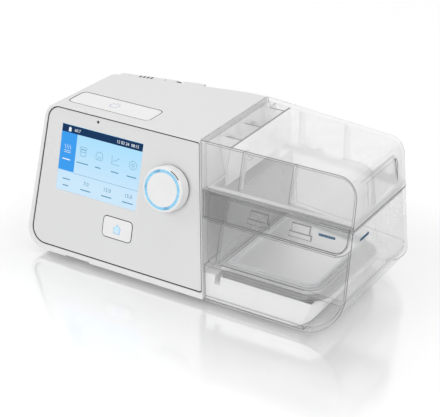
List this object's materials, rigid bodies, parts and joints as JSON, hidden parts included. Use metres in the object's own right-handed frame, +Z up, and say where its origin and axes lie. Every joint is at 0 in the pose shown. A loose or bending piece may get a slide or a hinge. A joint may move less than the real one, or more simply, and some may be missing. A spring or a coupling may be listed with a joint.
{
  "type": "bilevel airway pressure machine",
  "caption": "Bilevel airway pressure machine with tilted display panel, push dial, home and start buttons, blower, heater and a clear water chamber that slides off and opens",
  "frame": {"origin": "on the table plane, under the middle of the machine's width and depth", "axes": "+X to the right as the user faces the display, from the main unit to the water chamber; +Y from the display to the back with the air outlet; +Z up"},
  "size_m": [0.2649, 0.145, 0.113],
  "materials": {
    "housing": "fine satin moulding, off-white",
    "panel": "smooth satin, pale grey",
    "button": "smooth satin, white",
    "window": "clear glossy, over a lit display",
    "display": "lit display",
    "light_ring": "translucent, lit light blue",
    "clear": "clear polished polycarbonate",
    "dark_plastic": "fine matt",
    "duct_plastic": "satin",
    "board": "green solder resist",
    "flex": "flat ribbon",
    "steel": "bright",
    "heater_metal": "matt anodised grey",
    "tub_metal": "satin",
    "film": "amber film",
    "rubber": "matt",
    "foam": "open-cell foam",
    "mark_blue": "printed blue"
  },
  "bodies": {
    "unit": {"main_housing": "housing", "base_tray": "housing", "rear_cover": "housing", "front_panel": "panel", "display_window": "window", "display_module": "display", "display_carrier": "dark_plastic", "display_board": "board", "sensor_window": "dark_plastic", "encoder_body": "steel", "home_switch": "dark_plastic", "start_board": "board", "start_switches": "dark_plastic", "main_board": "board", "board_chips": "dark_plastic", "backup_cell": "steel", "sounder": "dark_plastic", "card_socket": "steel", "ribbon_cable": "flex", "power_inlet": "dark_plastic", "filter_foam": "foam", "silencer_box": "dark_plastic", "silencer_foam": "foam", "intake_duct": "dark_plastic", "blower_lower_case": "duct_plastic", "blower_upper_case": "duct_plastic", "blower_motor": "steel", "blower_mounts": "rubber", "blower_sleeve": "rubber", "supply_duct": "duct_plastic", "return_duct": "duct_plastic", "port_seals": "rubber", "outlet_port": "duct_plastic", "heater_plate": "heater_metal", "heater_film": "film", "rubber_feet": "rubber", "case_screws": "steel", "board_screws": "steel"},
    "dial_push_body": {"dial_plunger": "dark_plastic"},
    "dial": {"dial_shaft": "steel", "dial_skirt": "button", "dial_ring": "light_ring", "dial_cap": "button"},
    "home_key": {"home_button": "button"},
    "start_key": {"start_button": "button"},
    "fan": {"blower_wheel": "duct_plastic"},
    "filter_flap": {"filter_door": "housing"},
    "card_flap": {"card_door": "housing"},
    "tub": {"chamber_tub": "clear", "tub_base_metal": "tub_metal", "tub_base_seal": "rubber", "level_marks": "mark_blue", "hinge_pins": "steel"},
    "lid": {"chamber_lid": "clear", "lid_duct": "clear", "lid_seal": "rubber"}
  },
  "joints": [
    {"name": "dial_push", "type": "slide", "parent": "unit", "child": "dial_push_body", "axis": [0, 0.9694, -0.2453], "range_m": [0, 0.0008], "stiffness_N_per_m": 1500, "springref_m": -0.0005},
    {"name": "dial_spin", "type": "hinge", "parent": "dial_push_body", "child": "dial", "pos_m": [-0.0137, -0.05459, 0.07477], "axis": [0, -0.9694, 0.2453], "continuous": true},
    {"name": "home_press", "type": "slide", "parent": "unit", "child": "home_key", "axis": [0, 0.9694, -0.2453], "range_m": [0, 0.0006], "stiffness_N_per_m": 800, "springref_m": -0.0005},
    {"name": "start_press", "type": "slide", "parent": "unit", "child": "start_key", "axis": [0, 0, -1], "range_m": [0, 0.0008], "stiffness_N_per_m": 1000, "springref_m": -0.0005},
    {"name": "fan_spin", "type": "hinge", "parent": "unit", "child": "fan", "pos_m": [-0.0425, 0.0035, 0.034], "axis": [0, 0, 1], "continuous": true},
    {"name": "filter_door_hinge", "type": "hinge", "parent": "unit", "child": "filter_flap", "pos_m": [-0.092, 0.0384, 0.0634], "axis": [-0.9781, -0.2079, 0], "range_deg": [0, 80]},
    {"name": "card_door_hinge", "type": "hinge", "parent": "unit", "child": "card_flap", "pos_m": [-0.12978, -0.0351, 0.02715], "axis": [0.0453, -0.0016, 0.999], "range_deg": [0, 100]},
    {"name": "chamber_slide", "type": "slide", "parent": "unit", "child": "tub", "axis": [1, 0, 0], "range_m": [0, 0.13]},
    {"name": "lid_hinge", "type": "hinge", "parent": "tub", "child": "lid", "pos_m": [0.0787, 0.04421, 0.07915], "axis": [-0.9903, 0.1392, 0], "range_deg": [0, 95]}
  ]
}
